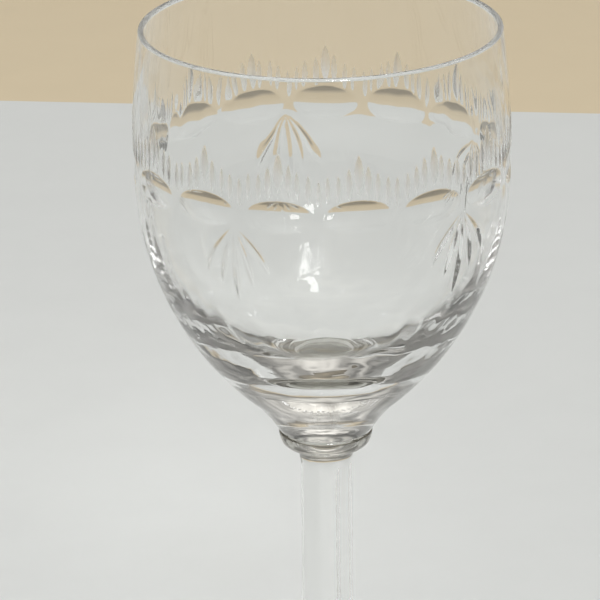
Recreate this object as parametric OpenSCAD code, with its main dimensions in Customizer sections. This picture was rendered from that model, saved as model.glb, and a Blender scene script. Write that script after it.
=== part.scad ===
// Stemmed wine glass: deep cut bowl, collar, flat-cut stem and round foot.
// Millimetres. The axis is Z, the floor is z = 0 and the front of the glass faces -Y.
// Every profile is a chain of circular arcs. An arc is [turning radius, angle at its end].
// A travel angle of 0 is straight down and positive leans outward. A negative radius is a hollow.

/* [Overall] */
// Height from the floor to the rim
total_h = 160; // [140:1:190]
// Collar: thickness between the bowl and the stem
collar_h = 3.7; // [2:0.1:8]
// Height of the foot at its joint with the stem
foot_h = 8.5; // [6:0.1:14]

/* [Bowl outside] */
// Outer radius at the rim
rim_r = 36; // [30:0.1:45]
// Outward lean of the wall at the rim, degrees
rim_lean = 7.55; // [0:0.05:15]
// Upper arc: radius
upper_arc_r = 173; // [100:1:300]
// Upper arc: angle where the lower arc starts
upper_arc_end = -2.9; // [-10:0.1:0]
// Lower arc: radius
lower_arc_r = 63.8; // [40:0.1:90]
// Lower arc: angle where the hollow neck starts
lower_arc_end = -49.3; // [-60:0.1:-30]
// Hollow neck: radius
neck_arc_r = 26.1; // [10:0.1:60]
// Hollow neck: angle where it meets the collar
neck_arc_end = -29.2; // [-40:0.1:0]

/* [Bowl inside] */
// Wall thickness at the rim
rim_wall = 1.25; // [0.8:0.05:3]
// Lean of the inner wall at the rim, degrees
inner_lean = 6.8; // [0:0.1:15]
// Inner upper arc: radius
inner_upper_r = 206; // [100:1:300]
// Inner side arc: radius
inner_side_r = 45.2; // [30:0.1:80]
// Inner corner arc: radius
inner_corner_r = 23; // [8:0.1:40]
// Angle where the side arc becomes the corner arc
inner_side_end = -39.5; // [-70:0.5:-20]
// Angle where the corner arc becomes the dished bottom
inner_corner_end = -74; // [-85:0.5:-50]

/* [Ring of olive cuts] */
// Number of olive cuts round the bowl
olive_count = 15; // [9:3:24]
// Azimuth of the first olive cut, degrees from the front
olive_phase = -13.2; // [-24:0.1:24]
// Depth of the ring's centreline below the rim
olive_drop = 27.8; // [15:0.1:45]
// Radius of the rounded wheel that cut them
olive_wheel_r = 10; // [5:0.1:20]
// Depth of the olive cuts
olive_depth = 0.62; // [0.2:0.01:1]

/* [Fringe of upright cuts] */
// Upright cuts over each olive
fringe_per_olive = 8; // [4:2:12]
// Radius of the V-edged wheel
fringe_wheel_r = 30; // [8:0.5:40]
// Half the angle of the wheel's V edge, degrees
fringe_half_angle = 72; // [40:1:75]
// Depth of each cut's top below the rim, from the tallest cut outward
fringe_tops = [15.2, 17.2, 18.4, 19.2, 19.9];
// Length of each cut, from the tallest cut outward
fringe_lengths = [8.2, 6.9, 6.4, 6.2, 6.2];

/* [Leaf sprays] */
// Number of sprays, each under a gap between two olives
spray_count = 5; // [3:1:5]
// Depth of each spray's top below the rim
spray_drop = 30.1; // [20:0.1:50]
// Half the angle of the leaves' V cut, degrees
leaf_half_angle = 60; // [40:1:75]
// Sideways reach of each leaf at its tip
leaf_reach = [0, -3.7, 3.7, -6.8, 6.8];
// Fall of each leaf from the spray's top to its tip
leaf_fall = [16.4, 12.4, 12.4, 10.1, 10.1];
// Depth of each leaf's cut
leaf_depths = [0.53, 0.36, 0.36, 0.36, 0.36];

/* [Collar] */
// Radius of the face under the bowl
collar_top_r = 8.95; // [7:0.05:12]

/* [Stem] */
// Radius of the stem across its corners
stem_r = 5.33; // [4:0.01:8]
// Number of flats cut on the stem
stem_flats = 8; // [6:1:12]
// Distance of each flat from the axis
stem_flat_r = 4.93; // [3.5:0.01:7.5]
// Turn of the flats about the axis, degrees
stem_turn = 7; // [0:0.5:45]
// Upper end of each flat: radius of its run-out and distance of its centre below the collar
neck_runout = [3, 4]; // [1:0.1:12]
// Lower end of each flat: radius of its run-out and distance of its centre above the foot
foot_runout = [9, 6.5]; // [1:0.1:20]

/* [Foot] */
// Radius of the domed top of the foot
foot_dome_r = 211; // [120:1:400]
// Width of the flat ring that the foot stands on
stand_ring_w = 2.6; // [1:0.1:6]
// Height of the hollow under the foot
foot_hollow = 1.4; // [0.3:0.1:3]

/* [Hidden] */
$fn = 96;
GLASS = [0.86, 0.90, 0.90, 0.55];
FAR = 400;          // larger than the glass in any direction
TOOL_OVERRUN = 0.6; // how far a wheel stands out of the surface it cuts
END_OVERRUN = 1;    // how far a wheel's path goes on past each end of a cut
OLIVE_WHEEL_W = 15; // wider than an olive is long
FLAT_WHEEL_W = 8.5; // wider than one flat of the stem
ROD_OVERLAP = 0.05; // how far the straight rod runs into each flare
CORE_R = 8;         // core that ties the thick base together across the neck joint
CORE_H = 8;
CORE_START = 1;     // height of the core above the collar
lip_r = rim_wall / 2;
olive_step = 360 / olive_count;
fringe_step = olive_step / fringe_per_olive;
spray_step = 360 / spray_count;
spray_turn = -1;    // small turn of the sprays away from the gaps between olives, degrees
spray_phase = olive_phase - olive_step / 2 + spray_turn;
collar_top_lean = 80;
neck_fillet_r = 2.8;
neck_fillet_start = -75;
neck_fillet_end = -5;
foot_flare_r = 8;
foot_flare_end = 45;
foot_hollow_end = 82;
foot_dome_end = 76;
inner_upper_end = -2;

outer_arcs = [
    [upper_arc_r, upper_arc_end],
    [lower_arc_r, lower_arc_end],
    [-neck_arc_r, neck_arc_end],
];
inner_arcs = [
    [inner_upper_r, inner_upper_end],
    [inner_side_r, inner_side_end],
    [inner_corner_r, inner_corner_end],
];
collar_arcs = [
    [0.62, -8],
    [6, -25],
    [2.4, neck_fillet_start],
];

// Geometry of a chain of arcs
function normal(a) = [cos(a), sin(a)];
function arc_end(p, a, arc) = p + arc[0] * (normal(arc[1]) - normal(a));
function arc_centre(p, a, arc) = p - arc[0] * normal(a);
function arc_start_angle(first, arcs, i) = i == 0 ? first : arcs[i - 1][1];
function arc_start(p, first, arcs, i) =
    i == 0 ? p : arc_end(arc_start(p, first, arcs, i - 1), arc_start_angle(first, arcs, i - 1), arcs[i - 1]);

bowl_start = [rim_r, -lip_r];
bowl_end = arc_start(bowl_start, rim_lean, outer_arcs, len(outer_arcs));
bowl_h = -bowl_end[1];
collar_bottom_z = total_h - bowl_h - collar_h;
stem_h = collar_bottom_z - foot_h;

// Radius and lean of the bowl's outer wall at a depth below the rim
lower_start = arc_start(bowl_start, rim_lean, outer_arcs, 1);
upper_centre = arc_centre(bowl_start, rim_lean, outer_arcs[0]);
lower_centre = arc_centre(lower_start, upper_arc_end, outer_arcs[1]);
function wall_arc_r(drop) = -drop > lower_start[1] ? upper_arc_r : lower_arc_r;
function wall_centre(drop) = -drop > lower_start[1] ? upper_centre : lower_centre;
function wall_lean(drop) = asin((-drop - wall_centre(drop)[1]) / wall_arc_r(drop));
function wall_radius(drop) = wall_centre(drop)[0] + wall_arc_r(drop) * cos(wall_lean(drop));

// Area between the axis and one arc, as tall as the arc
module arc_area(p, a, arc) {
    low = arc_end(p, a, arc);
    centre = arc_centre(p, a, arc);
    if (arc[0] > 0) {
        intersection() {
            translate(centre) circle(arc[0], $fn = FAR);
            translate([max(centre[0], 0), low[1]]) square([FAR, p[1] - low[1]]);
        }
        if (centre[0] > 0) {
            translate([0, low[1]]) square([centre[0], p[1] - low[1]]);
        }
    } else {
        difference() {
            translate([0, low[1]]) square([max(p[0], low[0]), p[1] - low[1]]);
            translate(centre) circle(-arc[0], $fn = FAR);
        }
    }
}

// Area between the axis and a whole chain of arcs
module chain_area(p, first, arcs) {
    for (i = [0 : len(arcs) - 1]) {
        arc_area(arc_start(p, first, arcs, i), arc_start_angle(first, arcs, i), arcs[i]);
    }
}

// Inside of the bowl: three arcs and a dished bottom that meets the axis squarely
module cavity_area() {
    start = [rim_r - rim_wall, -lip_r];
    corner = arc_start(start, inner_lean, inner_arcs, len(inner_arcs));
    chain_area(start, inner_lean, inner_arcs);
    arc_area(corner, inner_corner_end, [corner[0] / cos(inner_corner_end), -90]);
}

// Fire-polished lip: a half round on top of the wall
module lip_area() {
    intersection() {
        translate([rim_r - lip_r, -lip_r]) circle(lip_r);
        translate([0, -lip_r]) square([FAR, FAR]);
    }
}

module bowl_blank() {
    rotate_extrude() {
        difference() {
            chain_area(bowl_start, rim_lean, outer_arcs);
            cavity_area();
        }
        translate([0, CORE_START - bowl_h]) square([CORE_R, CORE_H]);
        lip_area();
    }
}

// One olive: a rounded wheel with its axis level and along the wall
module olive_wheel(azimuth) {
    reach = wall_radius(olive_drop) - olive_depth + olive_wheel_r;
    rotate([0, 0, azimuth])
        translate([0, -reach, -olive_drop])
            rotate([0, 90, 0])
                cylinder(r = olive_wheel_r, h = OLIVE_WHEEL_W, center = true);
}

// One upright cut: part of a V-edged wheel that turns in the upright plane
module fringe_wheel(azimuth, top, length) {
    drop = top + length / 2;
    depth = length * length / 8 * (1 / fringe_wheel_r + 1 / upper_arc_r);
    edge_h = depth + TOOL_OVERRUN;
    edge_w = edge_h * tan(fringe_half_angle);
    sweep = 2 * asin((length / 2 + END_OVERRUN) / fringe_wheel_r);
    rotate([0, 0, azimuth])
        translate([0, depth - wall_radius(drop) - fringe_wheel_r, -drop])
            rotate([-wall_lean(drop), 0, 0])
                rotate([0, 90, 0])
                    rotate([0, 0, 90 - sweep / 2])
                        rotate_extrude(angle = sweep)
                            translate([fringe_wheel_r, 0])
                                polygon([[0, 0], [-edge_h, edge_w], [-edge_h, -edge_w]]);
}

// One leaf: a straight V cut laid along the wall from the spray's top to the leaf's tip
module leaf_wheel(azimuth, i) {
    drop = spray_drop + leaf_fall[i] / 2;
    turn = leaf_reach[i] / 2 / wall_radius(drop) * 180 / PI;
    slope = atan2(leaf_reach[i], leaf_fall[i]);
    depth = leaf_depths[i];
    edge_h = depth + TOOL_OVERRUN;
    edge_w = edge_h * tan(leaf_half_angle);
    length = norm([leaf_reach[i], leaf_fall[i]]) + 2 * END_OVERRUN;
    rotate([0, 0, azimuth + turn])
        translate([0, -wall_radius(drop), -drop])
            rotate([-wall_lean(drop), 0, 0])
                rotate([0, -slope, 0])
                    linear_extrude(height = length, center = true)
                        polygon([[0, depth], [-edge_w, depth - edge_h], [edge_w, depth - edge_h]]);
}

// Fringe cuts of one parity, so that neighbours are cut in separate passes
module fringe_pass(parity) {
    half = fringe_per_olive / 2;
    for (k = [0 : olive_count - 1]) {
        for (j = [1 - half : half]) {
            if (abs(j) % 2 == parity) {
                azimuth = olive_phase + k * olive_step + j * fringe_step;
                fringe_wheel(azimuth, fringe_tops[abs(j)], fringe_lengths[abs(j)]);
            }
        }
    }
}

// The same leaf of every spray
module leaf_pass(i) {
    for (k = [0 : spray_count - 1]) {
        leaf_wheel(spray_phase + k * spray_step, i);
    }
}

module olive_pass() {
    for (k = [0 : olive_count - 1]) {
        olive_wheel(olive_phase + k * olive_step);
    }
}

module fringed_bowl() {
    difference() {
        difference() {
            difference() {
                bowl_blank();
                olive_pass();
            }
            fringe_pass(0);
        }
        fringe_pass(1);
    }
}

module bowl() {
    color(GLASS)
        translate([0, 0, total_h])
            difference() {
                difference() {
                    difference() {
                        fringed_bowl();
                        leaf_pass(0);
                    }
                    leaf_pass(1);
                    leaf_pass(2);
                }
                leaf_pass(3);
                leaf_pass(4);
            }
}

// Collar: a rounded disc welded between the bowl and the stem
module collar() {
    start = [collar_top_r, collar_h];
    color(GLASS)
        translate([0, 0, collar_bottom_z])
            rotate_extrude()
                intersection() {
                    chain_area(start, collar_top_lean, collar_arcs);
                    square([FAR, collar_h]);
                }
}

// Round rod with a hollow flare at each end
module stem_blank() {
    neck_start = [stem_r + neck_fillet_r * (cos(neck_fillet_end) - cos(neck_fillet_start)), stem_h];
    neck_arc = [-neck_fillet_r, neck_fillet_end];
    neck_low = arc_end(neck_start, neck_fillet_start, neck_arc);
    flare_top = [stem_r, foot_flare_r * sin(foot_flare_end)];
    rotate_extrude() {
        arc_area(neck_start, neck_fillet_start, neck_arc);
        translate([0, flare_top[1] - ROD_OVERLAP])
            square([stem_r, neck_low[1] - flare_top[1] + 2 * ROD_OVERLAP]);
        arc_area(flare_top, 0, [-foot_flare_r, foot_flare_end]);
    }
}

// Wheel path of one flat: straight along the stem and rounded where it runs out
module flat_cut(turn) {
    low = foot_runout[1];
    high = stem_h - neck_runout[1];
    rotate([0, 0, turn]) {
        translate([-FLAT_WHEEL_W / 2, stem_flat_r, low]) cube([FLAT_WHEEL_W, neck_runout[0], high - low]);
        flat_end(high, neck_runout[0]);
        flat_end(low, foot_runout[0]);
    }
}

module flat_end(z, r) {
    translate([0, stem_flat_r + r, z])
        rotate([0, 90, 0])
            cylinder(r = r, h = FLAT_WHEEL_W, center = true);
}

module stem() {
    color(GLASS)
        translate([0, 0, foot_h])
            difference() {
                stem_blank();
                for (k = [0 : stem_flats - 1]) {
                    flat_cut(stem_turn + k * 360 / stem_flats);
                }
            }
}

// Foot: hollow sweep from the stem, low dome, round edge, flat standing ring, hollow underside
module foot() {
    flare_r = stem_r + foot_flare_r * (1 - cos(foot_flare_end));
    start = [flare_r, foot_h];
    arcs = [[-foot_flare_r, foot_hollow_end], [foot_dome_r, foot_dome_end]];
    edge = arc_start(start, foot_flare_end, arcs, len(arcs));
    edge_r = edge[1] / (1 + sin(foot_dome_end));
    ring_r = edge[0] - edge_r * cos(foot_dome_end);
    hollow_edge = ring_r - stand_ring_w;
    hollow_r = (hollow_edge * hollow_edge + foot_hollow * foot_hollow) / (2 * foot_hollow);
    color(GLASS)
        rotate_extrude()
            difference() {
                union() {
                    chain_area(start, foot_flare_end, arcs);
                    square([ring_r, edge[1]]);
                    intersection() {
                        translate([ring_r, edge_r]) circle(edge_r);
                        translate([ring_r, 0]) square([edge_r, edge[1]]);
                    }
                }
                translate([0, foot_hollow - hollow_r]) circle(hollow_r, $fn = FAR);
            }
}

bowl();
collar();
stem();
foot();
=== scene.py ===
"""Cut wine glass: bowl, collar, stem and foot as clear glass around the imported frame.

Lengths in the profiles and cuts are millimetres below the rim or above the floor. MM turns them into metres.
A profile is a chain of circular arcs, each (turning radius, travel angle at its end). A travel angle of 0 is
straight down and positive leans outward. A negative radius is a hollow. Azimuth 0 is the front (-Y) and
positive turns towards +X.
"""

import math

import bpy
import numpy as np
from mathutils import Matrix, Vector

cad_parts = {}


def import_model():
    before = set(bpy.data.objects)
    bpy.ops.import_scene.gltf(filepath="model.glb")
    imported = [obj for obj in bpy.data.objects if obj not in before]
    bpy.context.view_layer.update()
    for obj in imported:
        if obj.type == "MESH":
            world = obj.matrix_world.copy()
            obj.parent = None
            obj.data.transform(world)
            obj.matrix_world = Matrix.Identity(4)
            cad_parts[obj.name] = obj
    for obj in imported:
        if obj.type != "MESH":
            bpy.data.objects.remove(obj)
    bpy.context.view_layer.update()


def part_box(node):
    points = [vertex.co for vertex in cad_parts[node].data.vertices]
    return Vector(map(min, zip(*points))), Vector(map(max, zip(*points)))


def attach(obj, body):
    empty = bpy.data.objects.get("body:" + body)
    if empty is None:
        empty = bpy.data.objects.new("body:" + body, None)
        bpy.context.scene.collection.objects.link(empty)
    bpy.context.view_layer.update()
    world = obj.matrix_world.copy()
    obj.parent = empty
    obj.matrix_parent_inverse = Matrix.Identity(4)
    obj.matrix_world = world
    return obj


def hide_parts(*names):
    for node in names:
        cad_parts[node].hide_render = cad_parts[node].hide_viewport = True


MM = 0.001

# Rings of vertices round the axis
FINE_COLUMNS = 1440
COLUMNS = 720
COLUMN_TURN = 0.5  # azimuth of the first column, so that a column runs down each corner of the stem

# Distance between rings of vertices, along the profile
ARC_STEP = 0.02
EDGE_STEP = 0.06
FOOT_EDGE_STEP = 0.1
PLAIN_STEP = 0.45
CUT_STEP = 0.33
OLIVE_STEP = 0.2
NECK_STEP = 0.35
INNER_STEP = 0.4
COLLAR_STEP = 0.12
STEM_STEP = 2.5
STEM_END_STEP = 0.3
STEM_PLAIN = (15, 55)  # heights above the foot between which the stem is straight
FOOT_STEP = 0.5
LIP_TURNS = (15, 165)
LIP_ROWS = 12
STAND_ROWS = 6
HOLLOW_ROWS = 48
STAND_GAP = 0.2
HOLLOW_GAP = 0.3

# Bowl, outside
RIM_R = 36.0
RIM_LEAN = 7.55
OUTER_ARCS = ((173, -2.9), (63.8, -49.3), (-26.1, -29.2))
WELD_ROUND_R = 0.4  # rounding of the bowl's lower edge, where it turns in to the collar

# Bowl, inside
RIM_WALL = 1.25
INNER_LEAN = 6.8
INNER_ARCS = ((206, -2), (45.2, -39.5), (23, -74))

# Ring of olive cuts
OLIVE_COUNT = 15
OLIVE_PHASE = -13.2
OLIVE_DROP = 27.8
OLIVE_WHEEL_R = 10
OLIVE_DEPTH = 0.62

# Fringe of upright cuts over each olive, from the tallest cut outward
FRINGE_PER_OLIVE = 8
FRINGE_WHEEL_R = 30
FRINGE_HALF_ANGLE = 72
FRINGE_TOPS = (15.2, 17.2, 18.4, 19.2, 19.9)
FRINGE_LENGTHS = (8.2, 6.9, 6.4, 6.2, 6.2)

# Leaf sprays: azimuths as the cutter placed them by eye, and the leaves of each
SPRAY_AZIMUTHS = (-27.4, 46.4, 121.5, 191.5, 261.5)
SPRAY_DROP = 30.1
LEAF_REACH = (0, -3.7, 3.7, -6.8, 6.8)
LEAF_FALL = (16.4, 12.4, 12.4, 10.1, 10.1)
LEAF_BOW = (0, 0.35, 0.35, 0.9, 0.9)
LEAF_DEPTH = (0.53, 0.47, 0.47, 0.47, 0.47)
LEAF_HALF_ANGLE = 60
LEAF_LOW = 1.35  # more than 1 puts the widest place below the middle
LEAF_FULLNESS = 0.8

# Depths below the rim between which the rings of vertices are closer together
CUT_TOP = 12.5
OLIVE_TOP = 24.0
OLIVE_BOTTOM = 31.5
CUT_BOTTOM = 47.5
NECK_DROP = 76

# Small differences between cuts made by hand, as standard deviations
HAND_SEED = 7
OLIVE_TURN_ERROR = 0.25
OLIVE_DROP_ERROR = 0.12
OLIVE_DEPTH_ERROR = 0.02
FRINGE_TURN_ERROR = 0.2
FRINGE_TOP_ERROR = 0.3
FRINGE_LENGTH_ERROR = 0.25
LEAF_TIP_ERROR = 0.25
LEAF_END_ERROR = 0.35

# Collar, stem and foot
COLLAR_TOP_R = 8.95
COLLAR_TOP_LEAN = 80
COLLAR_ARCS = ((0.62, -8), (6, -25), (2.4, -75))
STEM_R = 5.33
STEM_FLATS = 8
STEM_FLAT_R = 4.93
STEM_TURN = 7
NECK_FILLET_R = 2.8
NECK_FILLET = (-75, -5)
# Ends of each flat: radius of its run-out and distance of its centre from the joint
NECK_RUNOUT = (3, 4)
FOOT_RUNOUT = (9, 6.5)
FOOT_FLARE_R = 8
FOOT_FLARE_END = 45
FOOT_ARCS = ((-8, 82), (211, 76))
STAND_RING_W = 2.6
FOOT_HOLLOW = 1.4

# Glass
GLASS_IOR = 1.52
GLASS_TINT = (0.985, 0.988, 0.983)
# painted shade: a grey that darkens all that is seen through a weld, down the stem and through the collar
WELD_SHADE = (0.72, 0.71, 0.68)
SHADE_SCALE = 35.0
SHADE_RISE = 0.008
WAVER_STRETCH = 0.3  # less than 1 makes the waver run up and down the glass
# Size and height of each piece's waver, in metres
BOWL_WAVER = (0.0065, 0.00018)
COLLAR_WAVER = (0.008, 0.000004)
STEM_WAVER = (0.01, 0.000004)
FOOT_WAVER = (0.015, 0.000008)
GRIT_SCALE = 2600.0
GRIT_HEIGHT = 0.0000012
RUB_SCALE = 120.0
RUB_RANGE = (0.55, 0.8)
RUB_ROUGH = 0.02
CUT_EDGE = (0.02, 0.3)  # depth in millimetres over which a cut's finish comes in
CUT_ROUGH = 0.05
FRINGE_FROST = 0.3

# Stage and camera, in metres and degrees
TABLE_EDGE_Y = 0.456
TABLE_EDGE_TURN = 6.6
FLOOR_HALF = 4.0
TABLE_COLOUR = (0.735, 0.755, 0.75)
NEAR_GROUND = (0.74, 0.63, 0.45)
# the warm ground darkened by painted shade, far behind the glass
FAR_GROUND_SHADE = (0.38, 0.33, 0.25)
GROUND_SHADE_FADE = (0.70, 0.90)  # distance behind the glass over which painted shade darkens the ground
SKY_COLOUR = (1.0, 0.965, 0.89)
SIDE_LEVEL = 0.38  # how bright the dark flags on both sides are against the rest
SIDE_FADE = (0.3, 0.6)
BACK_FADE = (-0.4, 0.1)
CLOUD_SCALE = 5.0
CLOUD_RANGE = (0.35, 0.65)
CLOUD_LEVELS = (0.35, 1.45)
# Brightness of the surroundings by height: 0 at the horizon, 1 straight overhead
BACK_BANDS = (
    (0, 0.5),
    (0.2, 0.58),
    (0.42, 0.52),
    (0.5, 0.08),
    (0.62, 0.08),
    (0.7, 0.5),
    (0.88, 0.5),
    (0.94, 0.9),
)
FRONT_BANDS = ((0, 0.06), (0.2, 0.1), (0.35, 0.4), (0.6, 0.25), (0.88, 0.4), (0.94, 0.9))
MOTTLE = 0.04
MOTTLE_SCALE = 60.0
PAINT_ROUGH = 0.9
FRONT_LAMP_AT = (0.20, -1.0, 0.72)
FRONT_LAMP_AIM = (0, 0, 0.1)
FRONT_LAMP_SIDE = 0.2
FRONT_LAMP_WATTS = 4
FILL_AT = (0, 0.1, 2)
FILL_AIM = (0, 0.1, 0)
FILL_SIDE = 1.5
FILL_WATTS = 22.5
SENSOR = 36
CAMERA_LENS = 317.2
CAMERA_DISTANCE = 1.0401
CAMERA_ABOVE = 16.54
CAMERA_YAW = -0.276
CAMERA_PITCH = 19.50
CAMERA_ROLL = -0.83
CAMERA_RIM_OFFSET = 0.0002
CAMERA_FAR = 20
LONGEST_PATH = 64
MOST_CLEAR_STEPS = 32


# Profiles -------------------------------------------------------------------------------------------------


def arc_points(start, lean, arcs, step=ARC_STEP):
    """Closely spaced points down a chain of arcs, as rows of radius, height and travel angle in radians."""
    rows = []
    r, z, angle = start[0], start[1], math.radians(lean)
    for radius, end_degrees in arcs:
        end = math.radians(end_degrees)
        count = max(2, math.ceil(abs(radius * (end - angle)) / step))
        t = np.linspace(angle, end, count + 1)
        arc_r = r + radius * (np.cos(t) - math.cos(angle))
        arc_z = z + radius * (np.sin(t) - math.sin(angle))
        rows.append(np.stack([arc_r, arc_z, t], axis=1)[(1 if rows else 0):])
        r, z, angle = arc_r[-1], arc_z[-1], end
    return np.concatenate(rows)


def thin_out(rows, spacing):
    """The same profile with the row spacing that spacing(height) gives."""
    length = np.hypot(np.diff(rows[:, 0]), np.diff(rows[:, 1]))
    middle = (rows[1:, 1] + rows[:-1, 1]) / 2
    travel = np.concatenate([[0], np.cumsum(length / spacing(middle))])
    wanted = np.linspace(0, travel[-1], max(2, math.ceil(travel[-1])) + 1)
    return np.stack([np.interp(wanted, travel, rows[:, k]) for k in range(3)], axis=1)


def even(step):
    return lambda height: np.full_like(height, step)


# Meshes ---------------------------------------------------------------------------------------------------


def azimuths(count):
    return np.radians(COLUMN_TURN + np.arange(count) * 360 / count)


class Turned:
    """A closed turned solid, built ring by ring from its lower weld, over the outside and down the inside."""

    def __init__(self):
        self.verts = []
        self.cuts = []
        self.frost = []
        self.faces = []
        self.caps = []
        self.last = None

    def ring(self, r, z, count=COLUMNS, cut=0.0, frost=0.0):
        """Adds a ring. r, z and cut are numbers or one value for each column, in millimetres."""
        around = azimuths(count)
        r, z, cut, frost = (np.broadcast_to(v, count) for v in (r, z, cut, frost))
        first = len(self.cuts)
        self.verts.append(np.stack([r * np.sin(around), -r * np.cos(around), z], axis=1))
        self.cuts.extend(cut.tolist())
        self.frost.extend(frost.tolist())
        ids = np.arange(first, first + count)
        if self.last is not None:
            self.join(self.last, ids)
        self.last = ids
        return ids

    def join(self, low, high):
        """Faces between two rings whose counts divide each other."""
        count = min(len(low), len(high))
        low_steps = len(low) // count
        high_steps = len(high) // count
        for i in range(count):
            bottom = [low[(i * low_steps + k) % len(low)] for k in range(low_steps + 1)]
            top = [high[(i * high_steps + k) % len(high)] for k in range(high_steps + 1)]
            self.faces.append(bottom + top[::-1])

    def cap(self, ids, up):
        """Closes a weld plane with a flat disc."""
        self.caps.append(list(ids) if up else list(ids)[::-1])

    def tip(self, z):
        """Closes the last ring to one point on the axis."""
        apex = len(self.cuts)
        self.verts.append(np.array([[0, 0, z]]))
        self.cuts.append(0.0)
        self.frost.append(0.0)
        ids = self.last
        for i, vert in enumerate(ids):
            self.faces.append([vert, ids[(i + 1) % len(ids)], apex])

    def build(self, name, glass, weld, downward=False):
        """The piece as an object. downward says that its rings ran down the outside."""
        mesh = bpy.data.meshes.new(name)
        points = np.concatenate(self.verts) * MM
        walls = [face[::-1] for face in self.faces] if downward else self.faces
        mesh.from_pydata(points.tolist(), [], walls + self.caps)
        mesh.materials.append(glass)
        mesh.materials.append(weld)
        smooth = [True] * len(self.faces) + [False] * len(self.caps)
        index = [0] * len(self.faces) + [1] * len(self.caps)
        mesh.polygons.foreach_set("use_smooth", smooth)
        mesh.polygons.foreach_set("material_index", index)
        for label, values in (("cut", self.cuts), ("frost", self.frost)):
            attribute = mesh.attributes.new(label, "FLOAT", "POINT")
            attribute.data.foreach_set("value", values)
        mesh.validate()
        piece = bpy.data.objects.new(name, mesh)
        bpy.context.scene.collection.objects.link(piece)
        return piece


# Wheel cuts -----------------------------------------------------------------------------------------------


def wrapped(degrees):
    return (degrees + 180) % 360 - 180


def olive_depths(wall, around, azimuth, wheel_r, drop, depth, centre_r):
    """Depth, along the wall's normal, of a level rounded wheel's cut."""
    r, z, lean = wall[:, :1], wall[:, 1:2], wall[:, 2:]
    facing = np.cos(np.radians(wrapped(around - azimuth)))[None, :]
    across = r * facing - (centre_r - depth + wheel_r)
    along = z + drop
    a = (np.cos(lean) * facing) ** 2 + np.sin(lean) ** 2
    b = -2 * (across * np.cos(lean) * facing + along * np.sin(lean))
    c = across**2 + along**2 - wheel_r**2
    root = np.sqrt(np.maximum(b * b - 4 * a * c, 0))
    inside = (c < 0) & (facing > 0)
    return np.where(inside, (root - b) / (2 * a), 0)


def fringe_depths(wall, around, azimuth, top, length):
    """Depth of a V-edged wheel's cut that stands upright on the wall."""
    drop = top + length / 2
    depth = length**2 / 8 * (1 / FRINGE_WHEEL_R + 1 / OUTER_ARCS[0][0])
    row = np.argmin(np.abs(wall[:, 1] + drop))
    r0, z0, lean0 = wall[row]
    turn = np.radians(wrapped(around - azimuth))[None, :]
    out = wall[:, :1] * np.cos(turn) - r0
    side = wall[:, :1] * np.sin(turn)
    up = wall[:, 1:2] - z0
    height = out * math.cos(lean0) + up * math.sin(lean0)
    travel = up * math.cos(lean0) - out * math.sin(lean0)
    wheel = FRINGE_WHEEL_R - np.abs(side) / math.tan(math.radians(FRINGE_HALF_ANGLE))
    floor = FRINGE_WHEEL_R - depth - np.sqrt(np.maximum(wheel**2 - travel**2, 0))
    near = (np.abs(travel) < length) & (np.cos(turn) > 0.9)
    return np.where(near, np.maximum(height - floor, 0), 0)


def leaf_depths(wall, around, azimuth, reach, fall, bow, depth):
    """Depth of a bowed V cut that is narrow at the spray's top, widest below its middle and pointed."""
    down = (-wall[:, 1:2] - SPRAY_DROP) / fall
    inside = (down > 0) & (down < 1)
    t = np.clip(down, 0, 1)
    side = wall[:, :1] * np.radians(wrapped(around - azimuth))[None, :]
    outward = math.copysign(bow, reach) if reach else 0
    centre = reach * t + outward * np.sin(math.pi * t)
    slope = math.cos(math.atan2(abs(reach), fall))
    swell = np.sin(math.pi * t**LEAF_LOW) ** LEAF_FULLNESS
    narrow = np.abs(side - centre) * slope / math.tan(math.radians(LEAF_HALF_ANGLE))
    return np.where(inside, np.maximum(depth * swell - narrow, 0), 0)


def wheel_cuts(wall, around):
    """Depth of all the cutting at each row of the wall and each column, and where the fringe's cuts are."""
    hand = np.random.default_rng(HAND_SEED)
    cuts = np.zeros((len(wall), len(around)))
    fringe = np.zeros_like(cuts)
    ring_r = wall[np.argmin(np.abs(wall[:, 1] + OLIVE_DROP)), 0]
    step = 360 / OLIVE_COUNT
    half = FRINGE_PER_OLIVE // 2
    for k in range(OLIVE_COUNT):
        azimuth = OLIVE_PHASE + k * step + hand.normal(0, OLIVE_TURN_ERROR)
        drop = OLIVE_DROP + hand.normal(0, OLIVE_DROP_ERROR)
        depth = OLIVE_DEPTH + hand.normal(0, OLIVE_DEPTH_ERROR)
        cuts = np.maximum(cuts, olive_depths(wall, around, azimuth, OLIVE_WHEEL_R, drop, depth, ring_r))
        for j in range(1 - half, half + 1):
            place = OLIVE_PHASE + k * step + j * step / FRINGE_PER_OLIVE + hand.normal(0, FRINGE_TURN_ERROR)
            top = FRINGE_TOPS[abs(j)] + hand.normal(0, FRINGE_TOP_ERROR)
            length = FRINGE_LENGTHS[abs(j)] + hand.normal(0, FRINGE_LENGTH_ERROR)
            fringe = np.maximum(fringe, fringe_depths(wall, around, place, top, length))
    for azimuth in SPRAY_AZIMUTHS:
        for reach, fall, bow, depth in zip(LEAF_REACH, LEAF_FALL, LEAF_BOW, LEAF_DEPTH):
            tip = reach + hand.normal(0, LEAF_TIP_ERROR)
            end = fall + hand.normal(0, LEAF_END_ERROR)
            cuts = np.maximum(cuts, leaf_depths(wall, around, azimuth, tip, end, bow, depth))
    return np.maximum(cuts, fringe), np.where(fringe > cuts, 1.0, 0.0)


# Pieces ---------------------------------------------------------------------------------------------------


def outer_spacing(height):
    drop = -height
    step = np.full_like(height, PLAIN_STEP)
    step[(drop > CUT_TOP) & (drop < CUT_BOTTOM)] = CUT_STEP
    step[(drop >= OLIVE_TOP) & (drop < OLIVE_BOTTOM)] = OLIVE_STEP
    step[drop >= NECK_DROP] = NECK_STEP
    return step


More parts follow.
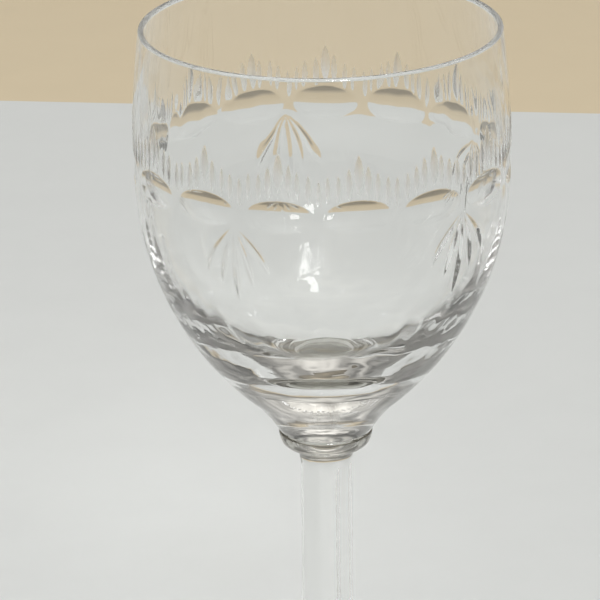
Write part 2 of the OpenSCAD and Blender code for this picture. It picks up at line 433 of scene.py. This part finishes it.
def bowl_piece(rim_z, weld_z, glass, weld):
    lip_r = RIM_WALL / 2
    outer = arc_points((RIM_R, -lip_r), RIM_LEAN, OUTER_ARCS)
    neck_lean = math.radians(OUTER_ARCS[-1][1])
    round_h = WELD_ROUND_R * (1 + math.sin(neck_lean))
    outer = outer[outer[:, 1] > weld_z - rim_z + round_h]
    wall = thin_out(outer, outer_spacing)
    edge = arc_points(wall[-1, :2], math.degrees(wall[-1, 2]), ((WELD_ROUND_R, -90),), EDGE_STEP)
    inner = arc_points((RIM_R - RIM_WALL, -lip_r), INNER_LEAN, INNER_ARCS)
    corner_r, corner_z, corner_lean = inner[-1]
    dish_r = corner_r / math.cos(corner_lean)
    dish = arc_points((corner_r, corner_z), math.degrees(corner_lean), ((dish_r, -90),))
    inner = thin_out(np.concatenate([inner, dish[1:]]), even(INNER_STEP))

    solid = Turned()
    solid.cap(solid.ring(COLLAR_TOP_R, weld_z), up=False)
    for r, z, _ in edge[:0:-1]:
        solid.ring(r, rim_z + z)
    cut_rows = (-wall[:, 1] > CUT_TOP) & (-wall[:, 1] < CUT_BOTTOM)
    around = np.degrees(azimuths(FINE_COLUMNS))
    depths, fringed = wheel_cuts(wall[cut_rows], around)
    cut_index = np.cumsum(cut_rows) - 1
    for k in range(len(wall) - 1, -1, -1):
        r, z, lean = wall[k]
        if cut_rows[k]:
            depth = depths[cut_index[k]]
            frost = fringed[cut_index[k]]
            cut_r = r - depth * math.cos(lean)
            cut_z = rim_z + z - depth * math.sin(lean)
            solid.ring(cut_r, cut_z, FINE_COLUMNS, depth, frost)
        else:
            solid.ring(r, rim_z + z)
    for turn in np.radians(np.linspace(*LIP_TURNS, LIP_ROWS)):
        solid.ring(RIM_R - lip_r + lip_r * math.cos(turn), rim_z - lip_r + lip_r * math.sin(turn))
    for r, z, _ in inner[:-1]:
        solid.ring(r, rim_z + z)
    solid.tip(rim_z + inner[-1, 1])
    return solid.build("cut_bowl", glass, weld)


def collar_piece(top_z, weld_z, glass, weld):
    profile = arc_points((COLLAR_TOP_R, top_z), COLLAR_TOP_LEAN, COLLAR_ARCS)
    profile = thin_out(profile[profile[:, 1] > weld_z], even(COLLAR_STEP))
    solid = Turned()
    solid.cap(solid.ring(neck_start_r(), weld_z), up=False)
    for r, z, _ in profile[:0:-1]:
        solid.ring(r, z)
    solid.cap(solid.ring(COLLAR_TOP_R, top_z), up=True)
    return solid.build("weld_collar", glass, weld)


def neck_start_r():
    """Radius of the stem where it meets the collar."""
    return STEM_R + NECK_FILLET_R * (cos_degrees(NECK_FILLET[1]) - cos_degrees(NECK_FILLET[0]))


def cos_degrees(angle):
    return math.cos(math.radians(angle))


def runout(distance, wheel_r):
    """How much shallower a flat is at a distance past the end of its straight part."""
    return wheel_r - math.sqrt(max(wheel_r**2 - max(distance, 0) ** 2, 0))


def stem_ring(round_r, height, length):
    """Radius of the flat-cut stem round one ring."""
    step = 360 / STEM_FLATS
    around = np.degrees(azimuths(COLUMNS))
    from_flat = (around - STEM_TURN + step / 2) % step - step / 2
    neck_r, neck_start = NECK_RUNOUT
    foot_r, foot_start = FOOT_RUNOUT
    rise = runout(height - (length - neck_start), neck_r) + runout(foot_start - height, foot_r)
    flat = (STEM_FLAT_R + rise) / np.cos(np.radians(from_flat))
    return np.minimum(round_r, flat)


def stem_piece(top_z, foot_z, glass, weld):
    length = top_z - foot_z
    fillet = tuple((-NECK_FILLET_R, end) for end in (NECK_FILLET[1], 0))
    neck = arc_points((neck_start_r(), length), NECK_FILLET[0], fillet)
    flare_h = FOOT_FLARE_R * math.sin(math.radians(FOOT_FLARE_END))
    flare = arc_points((STEM_R, flare_h), 0, ((-FOOT_FLARE_R, FOOT_FLARE_END),))
    profile = thin_out(np.concatenate([neck, flare]), stem_spacing)
    solid = Turned()
    for k, (r, z, _) in enumerate(profile[::-1]):
        ids = solid.ring(stem_ring(r, z, length), foot_z + z)
        if k == 0:
            solid.cap(ids, up=False)
    solid.cap(ids, up=True)
    return solid.build("flat_cut_stem", glass, weld)


def stem_spacing(height):
    return np.where((height > STEM_PLAIN[0]) & (height < STEM_PLAIN[1]), STEM_STEP, STEM_END_STEP)


def foot_piece(top_z, glass, weld):
    start_r = STEM_R + FOOT_FLARE_R * (1 - cos_degrees(FOOT_FLARE_END))
    dome = arc_points((start_r, top_z), FOOT_FLARE_END, FOOT_ARCS)
    edge_r, edge_z, edge_lean = dome[-1]
    round_r = edge_z / (1 + math.sin(edge_lean))
    edge = arc_points((edge_r, edge_z), math.degrees(edge_lean), ((round_r, -90),), FOOT_EDGE_STEP)
    top = thin_out(dome, even(FOOT_STEP))
    hollow_edge = edge[-1, 0] - STAND_RING_W
    hollow_r = (hollow_edge**2 + FOOT_HOLLOW**2) / (2 * FOOT_HOLLOW)
    solid = Turned()
    solid.cap(solid.ring(top[0, 0], top[0, 1]), up=True)
    for r, z, _ in np.concatenate([top[1:], edge[1:]]):
        solid.ring(r, z)
    for r in np.linspace(edge[-1, 0] - STAND_GAP, hollow_edge, STAND_ROWS):
        solid.ring(r, 0)
    for r in np.linspace(hollow_edge - HOLLOW_GAP, HOLLOW_GAP, HOLLOW_ROWS):
        solid.ring(r, FOOT_HOLLOW - hollow_r + math.sqrt(hollow_r**2 - r**2))
    solid.tip(FOOT_HOLLOW)
    return solid.build("domed_foot", glass, weld, downward=True)


# Materials ------------------------------------------------------------------------------------------------


class Nodes:
    """Short calls for building one node tree."""

    def __init__(self, owner):
        owner.use_nodes = True
        self.tree = owner.node_tree
        self.tree.nodes.clear()

    def add(self, kind, values=None, **settings):
        node = self.tree.nodes.new(kind)
        for name, value in settings.items():
            setattr(node, name, value)
        for name, value in (values or {}).items():
            node.inputs[name].default_value = value
        return node

    def link(self, source, output, target, socket):
        self.tree.links.new(source.outputs[output], target.inputs[socket])


def weld_material():
    """Inside of a weld, where one glass runs into the next; its grey is painted shade on what shows through.
    """
    material = bpy.data.materials.new("weld_inside")
    nodes = Nodes(material)
    # painted shade: the weld greys all that is seen through it
    clear = nodes.add("ShaderNodeBsdfTransparent", {"Color": (*WELD_SHADE, 1)})
    output = nodes.add("ShaderNodeOutputMaterial")
    nodes.link(clear, "BSDF", output, "Surface")
    return material


def tinted(nodes, place, tint, glass):
    """A tint that is a very little stronger in places."""
    shade = nodes.add("ShaderNodeTexNoise", {"Scale": SHADE_SCALE, "Detail": 2.0})
    colour = nodes.add("ShaderNodeMix", data_type="RGBA")
    colour.inputs["A"].default_value = (*tint, 1)
    colour.inputs["B"].default_value = (*(min(1, c + SHADE_RISE) for c in tint), 1)
    nodes.link(place, "Object", shade, "Vector")
    nodes.link(shade, "Fac", colour, "Factor")
    nodes.link(colour, "Result", glass, "Base Color")


def wavering(nodes, place, in_cut, waver_size, waver_height, glass):
    """The waver of hand-worked glass, which runs mostly upright, and wheel lines in the cuts."""
    upright = nodes.add("ShaderNodeMapping", {"Scale": (1, 1, WAVER_STRETCH)})
    wave = nodes.add("ShaderNodeTexNoise", {"Scale": 1 / waver_size, "Detail": 1.0})
    waver = nodes.add("ShaderNodeBump", {"Strength": 1.0, "Distance": waver_height})
    nodes.link(place, "Object", upright, "Vector")
    nodes.link(upright, "Vector", wave, "Vector")
    nodes.link(wave, "Fac", waver, "Height")

    grit = nodes.add("ShaderNodeTexNoise", {"Scale": GRIT_SCALE, "Detail": 2.0})
    lines = nodes.add("ShaderNodeMath", operation="MULTIPLY")
    wheel = nodes.add("ShaderNodeBump", {"Strength": 1.0, "Distance": GRIT_HEIGHT})
    nodes.link(place, "Object", grit, "Vector")
    nodes.link(grit, "Fac", lines, 0)
    nodes.link(in_cut, "Result", lines, 1)
    nodes.link(lines, "Value", wheel, "Height")
    nodes.link(waver, "Normal", wheel, "Normal")
    nodes.link(wheel, "Normal", glass, "Normal")


def roughened(nodes, place, in_cut, cut_rough, glass):
    """Faint rub marks, cuts a little less polished than the wall, and a frosted fringe."""
    rub = nodes.add("ShaderNodeTexNoise", {"Scale": RUB_SCALE, "Detail": 4.0})
    rubbed = nodes.add("ShaderNodeMapRange", {"From Min": RUB_RANGE[0], "From Max": RUB_RANGE[1]})
    rubbed.inputs["To Max"].default_value = RUB_ROUGH
    with_cuts = nodes.add("ShaderNodeMath", operation="MULTIPLY_ADD")
    with_cuts.inputs[1].default_value = cut_rough
    frost = nodes.add("ShaderNodeAttribute", attribute_name="frost")
    with_frost = nodes.add("ShaderNodeMath", operation="MULTIPLY_ADD")
    with_frost.inputs[1].default_value = FRINGE_FROST
    nodes.link(place, "Object", rub, "Vector")
    nodes.link(rub, "Fac", rubbed, "Value")
    nodes.link(in_cut, "Result", with_cuts, 0)
    nodes.link(rubbed, "Result", with_cuts, 2)
    nodes.link(frost, "Fac", with_frost, 0)
    nodes.link(with_cuts, "Value", with_frost, 2)
    nodes.link(with_frost, "Value", glass, "Roughness")


def clear_in_shadow(nodes, glass):
    """Lets the light of the lamps straight through, so that the glass throws no dark shadow."""
    light_path = nodes.add("ShaderNodeLightPath")
    clear = nodes.add("ShaderNodeBsdfTransparent")
    shadow = nodes.add("ShaderNodeMixShader")
    output = nodes.add("ShaderNodeOutputMaterial")
    nodes.link(light_path, "Is Shadow Ray", shadow, "Fac")
    nodes.link(glass, "BSDF", shadow, 1)
    nodes.link(clear, "BSDF", shadow, 2)
    nodes.link(shadow, "Shader", output, "Surface")


def glass_material(name, waver_size, waver_height, cut_rough=0):
    """Clear soda glass, with the marks of its making and its use."""
    material = bpy.data.materials.new(name)
    nodes = Nodes(material)
    place = nodes.add("ShaderNodeTexCoord")
    cut = nodes.add("ShaderNodeAttribute", attribute_name="cut")
    in_cut = nodes.add("ShaderNodeMapRange", {"From Min": CUT_EDGE[0], "From Max": CUT_EDGE[1]})
    glass = nodes.add("ShaderNodeBsdfPrincipled", {"Transmission Weight": 1.0, "IOR": GLASS_IOR})
    nodes.link(cut, "Fac", in_cut, "Value")
    tinted(nodes, place, GLASS_TINT, glass)
    wavering(nodes, place, in_cut, waver_size, waver_height, glass)
    roughened(nodes, place, in_cut, cut_rough, glass)
    clear_in_shadow(nodes, glass)
    return material


def matt_material(name, colour):
    """Matt paint, slightly mottled, that painted shade darkens far behind the glass."""
    material = bpy.data.materials.new(name)
    nodes = Nodes(material)
    place = nodes.add("ShaderNodeTexCoord")
    noise = nodes.add("ShaderNodeTexNoise", {"Scale": MOTTLE_SCALE, "Detail": 5.0})
    # painted shade: the colour fades towards a darker one far behind the glass
    far = nodes.add("ShaderNodeMapRange", {"From Min": GROUND_SHADE_FADE[0], "From Max": GROUND_SHADE_FADE[1]})
    mix = nodes.add("ShaderNodeMix", data_type="RGBA")
    mix.inputs["A"].default_value = (*colour, 1)
    mix.inputs["B"].default_value = (*(c * (1 - MOTTLE) for c in colour), 1)
    shaded = nodes.add("ShaderNodeMix", data_type="RGBA")
    shaded.inputs["B"].default_value = (*FAR_GROUND_SHADE, 1)
    parts = nodes.add("ShaderNodeSeparateXYZ")
    matt = nodes.add("ShaderNodeBsdfPrincipled", {"Roughness": PAINT_ROUGH})
    output = nodes.add("ShaderNodeOutputMaterial")
    nodes.link(place, "Object", noise, "Vector")
    nodes.link(noise, "Fac", mix, "Factor")
    nodes.link(place, "Object", parts, "Vector")
    nodes.link(parts, "Y", far, "Value")
    nodes.link(far, "Result", shaded, "Factor")
    nodes.link(mix, "Result", shaded, "A")
    nodes.link(shaded, "Result", matt, "Base Color")
    nodes.link(matt, "BSDF", output, "Surface")
    return material


# Stage, light and camera ----------------------------------------------------------------------------------


def flat_sheet(name, corners, material):
    """A level sheet at the height that the glass stands on."""
    mesh = bpy.data.meshes.new(name)
    mesh.from_pydata([(x, y, 0) for x, y in corners], [], [list(range(len(corners)))])
    mesh.materials.append(material)
    sheet = bpy.data.objects.new(name, mesh)
    bpy.context.scene.collection.objects.link(sheet)


def floor():
    """A plain pale table top and, beyond its far edge, a plain warm ground, darkened far back by painted
    shade.
    """
    slope = math.tan(math.radians(TABLE_EDGE_TURN))
    far_left = TABLE_EDGE_Y + slope * FLOOR_HALF
    far_right = TABLE_EDGE_Y - slope * FLOOR_HALF
    edge = [(FLOOR_HALF, far_right), (-FLOOR_HALF, far_left)]
    table = [(-FLOOR_HALF, -FLOOR_HALF), (FLOOR_HALF, -FLOOR_HALF), *edge]
    ground = [*edge[::-1], (FLOOR_HALF, FLOOR_HALF), (-FLOOR_HALF, FLOOR_HALF)]
    flat_sheet("table_top", table, matt_material("pale_paint", TABLE_COLOUR))
    flat_sheet("far_ground", ground, matt_material("warm_ground", NEAR_GROUND))


def sky_bands(nodes, parts, bands):
    """A brightness that changes with the height of the direction."""
    ramp = nodes.add("ShaderNodeValToRGB")
    stops = ramp.color_ramp.elements
    while len(stops) < len(bands):
        stops.new(1)
    for stop, (height, level) in zip(stops, bands):
        stop.position = height
        stop.color = (level, level, level, 1)
    nodes.link(parts, "Z", ramp, "Fac")
    return ramp


def surroundings():
    """Soft light from all round in broad bands and patches, low behind the camera and dark at the sides."""
    world = bpy.data.worlds.new("studio")
    bpy.context.scene.world = world
    nodes = Nodes(world)
    direction = nodes.add("ShaderNodeTexCoord")
    parts = nodes.add("ShaderNodeSeparateXYZ")
    nodes.link(direction, "Generated", parts, "Vector")
    back = sky_bands(nodes, parts, BACK_BANDS)
    front = sky_bands(nodes, parts, FRONT_BANDS)
    depth = nodes.add("ShaderNodeMapRange", {"From Min": BACK_FADE[0], "From Max": BACK_FADE[1]})
    level = nodes.add("ShaderNodeMix", data_type="RGBA")
    cloud = nodes.add("ShaderNodeTexNoise", {"Scale": CLOUD_SCALE, "Detail": 2.0})
    patch = nodes.add("ShaderNodeMapRange", {"From Min": CLOUD_RANGE[0], "From Max": CLOUD_RANGE[1]})
    patch.inputs["To Min"].default_value, patch.inputs["To Max"].default_value = CLOUD_LEVELS
    across = nodes.add("ShaderNodeMath", operation="ABSOLUTE")
    flags = nodes.add("ShaderNodeMapRange", {"From Min": SIDE_FADE[0], "From Max": SIDE_FADE[1]})
    flags.inputs["To Min"].default_value, flags.inputs["To Max"].default_value = 1, SIDE_LEVEL
    patched = nodes.add("ShaderNodeMath", operation="MULTIPLY")
    strength = nodes.add("ShaderNodeMath", operation="MULTIPLY")
    glow = nodes.add("ShaderNodeBackground", {"Color": (*SKY_COLOUR, 1)})
    output = nodes.add("ShaderNodeOutputWorld")
    nodes.link(parts, "Y", depth, "Value")
    nodes.link(depth, "Result", level, "Factor")
    nodes.link(front, "Color", level, "A")
    nodes.link(back, "Color", level, "B")
    nodes.link(direction, "Generated", cloud, "Vector")
    nodes.link(cloud, "Fac", patch, "Value")
    nodes.link(parts, "X", across, 0)
    nodes.link(across, "Value", flags, "Value")
    nodes.link(level, "Result", patched, 0)
    nodes.link(patch, "Result", patched, 1)
    nodes.link(patched, "Value", strength, 0)
    nodes.link(flags, "Result", strength, 1)
    nodes.link(strength, "Value", glow, "Strength")
    nodes.link(glow, "Background", output, "Surface")


def soft_light(name, place, aim, side, power, in_glass=True):
    """A square lamp. in_glass says whether the glass shows it as a highlight."""
    light = bpy.data.lights.new(name, "AREA")
    light.shape = "RECTANGLE"
    light.size = side
    light.size_y = side
    light.energy = power
    lamp = bpy.data.objects.new(name, light)
    lamp.location = place
    lamp.rotation_euler = (Vector(aim) - Vector(place)).to_track_quat("-Z", "Y").to_euler()
    lamp.visible_glossy = in_glass
    lamp.visible_transmission = in_glass
    bpy.context.scene.collection.objects.link(lamp)


def camera(rim_z):
    """Looks down into the bowl from the front, a little rolled, with a long lens."""
    angles = (CAMERA_ABOVE, CAMERA_YAW, CAMERA_PITCH, CAMERA_ROLL)
    above, yaw, pitch, roll = (math.radians(angle) for angle in angles)
    height = rim_z * MM - CAMERA_RIM_OFFSET + CAMERA_DISTANCE * math.sin(above)
    place = Vector((0, -CAMERA_DISTANCE * math.cos(above), height))
    ahead = Vector((math.sin(yaw) * math.cos(pitch), math.cos(yaw) * math.cos(pitch), -math.sin(pitch)))
    right = Vector((math.cos(yaw), -math.sin(yaw), 0))
    up = right.cross(ahead)
    side = right * math.cos(roll) + up * math.sin(roll)
    top = up * math.cos(roll) - right * math.sin(roll)
    lens = bpy.data.cameras.new("camera")
    lens.sensor_width = SENSOR
    lens.lens = CAMERA_LENS
    lens.clip_end = CAMERA_FAR
    view = bpy.data.objects.new("camera", lens)
    view.matrix_world = Matrix.Translation(place) @ Matrix((side, top, -ahead)).transposed().to_4x4()
    bpy.context.scene.collection.objects.link(view)
    bpy.context.scene.camera = view


def render_paths():
    """Plain display colours, and enough bounces for light to get out of the thick base."""
    bpy.context.scene.view_settings.view_transform = "Standard"
    paths = bpy.context.scene.cycles
    paths.max_bounces = LONGEST_PATH
    paths.transmission_bounces = LONGEST_PATH
    paths.glossy_bounces = LONGEST_PATH
    paths.transparent_max_bounces = MOST_CLEAR_STEPS


def main():
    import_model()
    rim_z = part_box("bowl")[1].z / MM
    bowl_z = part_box("bowl")[0].z / MM
    collar_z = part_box("collar")[0].z / MM
    foot_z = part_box("foot")[1].z / MM
    weld = weld_material()
    cut_glass = glass_material("cut_glass", *BOWL_WAVER, CUT_ROUGH)
    collar_glass = glass_material("collar_glass", *COLLAR_WAVER)
    stem_glass = glass_material("stem_glass", *STEM_WAVER)
    foot_glass = glass_material("foot_glass", *FOOT_WAVER)
    pieces = {
        "bowl": bowl_piece(rim_z, bowl_z, cut_glass, weld),
        "collar": collar_piece(bowl_z, collar_z, collar_glass, weld),
        "stem": stem_piece(collar_z, foot_z, stem_glass, weld),
        "foot": foot_piece(foot_z, foot_glass, weld),
    }
    for node, piece in pieces.items():
        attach(piece, "root")
        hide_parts(node)
    floor()
    surroundings()
    soft_light("front_lamp", FRONT_LAMP_AT, FRONT_LAMP_AIM, FRONT_LAMP_SIDE, FRONT_LAMP_WATTS)
    soft_light("overhead_fill", FILL_AT, FILL_AIM, FILL_SIDE, FILL_WATTS, in_glass=False)
    camera(rim_z)
    render_paths()


main()
